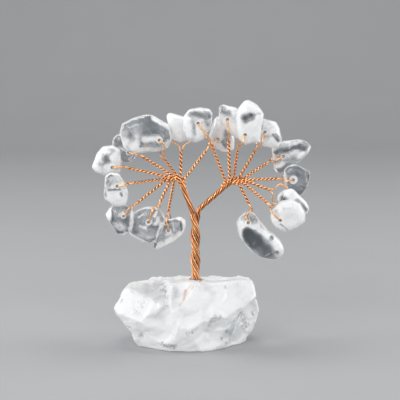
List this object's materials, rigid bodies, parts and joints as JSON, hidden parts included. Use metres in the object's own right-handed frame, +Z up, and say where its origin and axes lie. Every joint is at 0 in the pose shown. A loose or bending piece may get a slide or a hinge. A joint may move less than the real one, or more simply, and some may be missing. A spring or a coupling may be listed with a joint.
{
  "type": "gemstone tree ornament",
  "caption": "Small tree of tumbled clear quartz chips on twisted copper wire branches, its trunk glued into a raw quartz base that stands on a shelf.",
  "frame": {"origin": "on the stone's resting face, under the trunk's socket", "axes": "+Z up along the trunk, +X along the width of the crown, +Y to the back"},
  "size_m": [0.0658, 0.0288, 0.0744],
  "materials": {
    "base_stone": "satin",
    "clear_glue": "gloss",
    "copper_wire": "gloss",
    "clear_quartz": "polished",
    "milky_quartz": "polished"
  },
  "bodies": {
    "tree": {"base_stone": "base_stone", "glue_collar": "clear_glue", "left_bundle_wire_1": "copper_wire", "left_bundle_wire_2": "copper_wire", "left_bundle_wire_3": "copper_wire", "left_bundle_wire_4": "copper_wire", "left_bundle_wire_5": "copper_wire", "left_bundle_wire_6": "copper_wire", "left_bundle_wire_7": "copper_wire", "right_bundle_wire_1": "copper_wire", "right_bundle_wire_2": "copper_wire", "right_bundle_wire_3": "copper_wire", "right_bundle_wire_4": "copper_wire", "right_bundle_wire_5": "copper_wire", "right_bundle_wire_6": "copper_wire", "right_bundle_wire_7": "copper_wire", "twig_left_1": "copper_wire", "twig_left_2": "copper_wire", "twig_left_3": "copper_wire", "twig_left_4": "copper_wire", "twig_left_5": "copper_wire", "twig_left_6": "copper_wire", "twig_left_7": "copper_wire", "twig_left_8": "copper_wire", "twig_left_9": "copper_wire", "twig_right_1": "copper_wire", "twig_right_2": "copper_wire", "twig_right_3": "copper_wire", "twig_right_4": "copper_wire", "twig_right_5": "copper_wire", "twig_right_6": "copper_wire", "twig_right_7": "copper_wire", "twig_right_8": "copper_wire", "twig_right_9": "copper_wire"},
    "chip_left_1": {"chip_left_1": "clear_quartz"},
    "chip_left_2": {"chip_left_2": "clear_quartz"},
    "chip_left_3": {"chip_left_3": "clear_quartz"},
    "chip_left_4": {"chip_left_4": "milky_quartz"},
    "chip_left_5": {"chip_left_5": "milky_quartz"},
    "chip_left_6": {"chip_left_6": "clear_quartz"},
    "chip_left_7": {"chip_left_7": "clear_quartz"},
    "chip_left_8": {"chip_left_8": "clear_quartz"},
    "chip_left_9": {"chip_left_9": "clear_quartz"},
    "chip_right_1": {"chip_right_1": "clear_quartz"},
    "chip_right_2": {"chip_right_2": "milky_quartz"},
    "chip_right_3": {"chip_right_3": "milky_quartz"},
    "chip_right_4": {"chip_right_4": "clear_quartz"},
    "chip_right_5": {"chip_right_5": "clear_quartz"},
    "chip_right_6": {"chip_right_6": "clear_quartz"},
    "chip_right_7": {"chip_right_7": "milky_quartz"},
    "chip_right_8": {"chip_right_8": "milky_quartz"},
    "chip_right_9": {"chip_right_9": "clear_quartz"}
  },
  "joints": [
    {"name": "swing_left_1", "type": "hinge", "parent": "tree", "child": "chip_left_1", "pos_m": [-0.0245, -0.0025, 0.0541], "axis": [0, 1, 0], "range_deg": [-20, 20]},
    {"name": "swing_left_2", "type": "hinge", "parent": "tree", "child": "chip_left_2", "pos_m": [-0.0199, 0.0048, 0.0576], "axis": [0, 1, 0], "range_deg": [-20, 20]},
    {"name": "swing_left_3", "type": "hinge", "parent": "tree", "child": "chip_left_3", "pos_m": [-0.0128, -0.0025, 0.0623], "axis": [-0.6222, 0.7828, 0], "range_deg": [-20, 20]},
    {"name": "swing_left_4", "type": "hinge", "parent": "tree", "child": "chip_left_4", "pos_m": [-0.00437, 0.0032, 0.0628], "axis": [1, 0, 0], "range_deg": [-20, 20]},
    {"name": "swing_left_5", "type": "hinge", "parent": "tree", "child": "chip_left_5", "pos_m": [-0.0228, -0.0076, 0.0493], "axis": [0, 1, 0], "range_deg": [-20, 20]},
    {"name": "swing_left_6", "type": "hinge", "parent": "tree", "child": "chip_left_6", "pos_m": [-0.0212, -0.0033, 0.0397], "axis": [0, 1, 0], "range_deg": [-20, 20]},
    {"name": "swing_left_7", "type": "hinge", "parent": "tree", "child": "chip_left_7", "pos_m": [-0.014, 0.0016, 0.037], "axis": [0, 1, 0], "range_deg": [-20, 20]},
    {"name": "swing_left_8", "type": "hinge", "parent": "tree", "child": "chip_left_8", "pos_m": [-0.0081, 0.0072, 0.0334], "axis": [0, 1, 0], "range_deg": [-20, 20]},
    {"name": "swing_left_9", "type": "hinge", "parent": "tree", "child": "chip_left_9", "pos_m": [0.0069, 0.0062, 0.0615], "axis": [0, 1, 0], "range_deg": [-20, 20]},
    {"name": "swing_right_1", "type": "hinge", "parent": "tree", "child": "chip_right_1", "pos_m": [0.0009, -0.0042, 0.0675], "axis": [0, 1, 0], "range_deg": [-20, 20]},
    {"name": "swing_right_2", "type": "hinge", "parent": "tree", "child": "chip_right_2", "pos_m": [0.0096, -0.0006, 0.0682], "axis": [0, 1, 0], "range_deg": [-20, 10]},
    {"name": "swing_right_3", "type": "hinge", "parent": "tree", "child": "chip_right_3", "pos_m": [0.0147, -0.0072, 0.0645], "axis": [0, 1, 0], "range_deg": [-20, 20]},
    {"name": "swing_right_4", "type": "hinge", "parent": "tree", "child": "chip_right_4", "pos_m": [0.0207, -0.002, 0.0646], "axis": [0, 1, 0], "range_deg": [-20, 20]},
    {"name": "swing_right_5", "type": "hinge", "parent": "tree", "child": "chip_right_5", "pos_m": [0.0266, 0.0064, 0.0563], "axis": [0, 1, 0], "range_deg": [-20, 15]},
    {"name": "swing_right_6", "type": "hinge", "parent": "tree", "child": "chip_right_6", "pos_m": [0.0294, 0.0016, 0.0498], "axis": [0, 1, 0], "range_deg": [-20, 20]},
    {"name": "swing_right_7", "type": "hinge", "parent": "tree", "child": "chip_right_7", "pos_m": [0.02672, -0.0036, 0.0452], "axis": [-0.3697, 0, -0.9292], "range_deg": [-20, 10]},
    {"name": "swing_right_8", "type": "hinge", "parent": "tree", "child": "chip_right_8", "pos_m": [0.025, -0.0098, 0.0396], "axis": [0, 1, 0], "range_deg": [-20, 20]},
    {"name": "swing_right_9", "type": "hinge", "parent": "tree", "child": "chip_right_9", "pos_m": [0.0158, -0.003, 0.0377], "axis": [0, 1, 0], "range_deg": [-20, 20]}
  ]
}
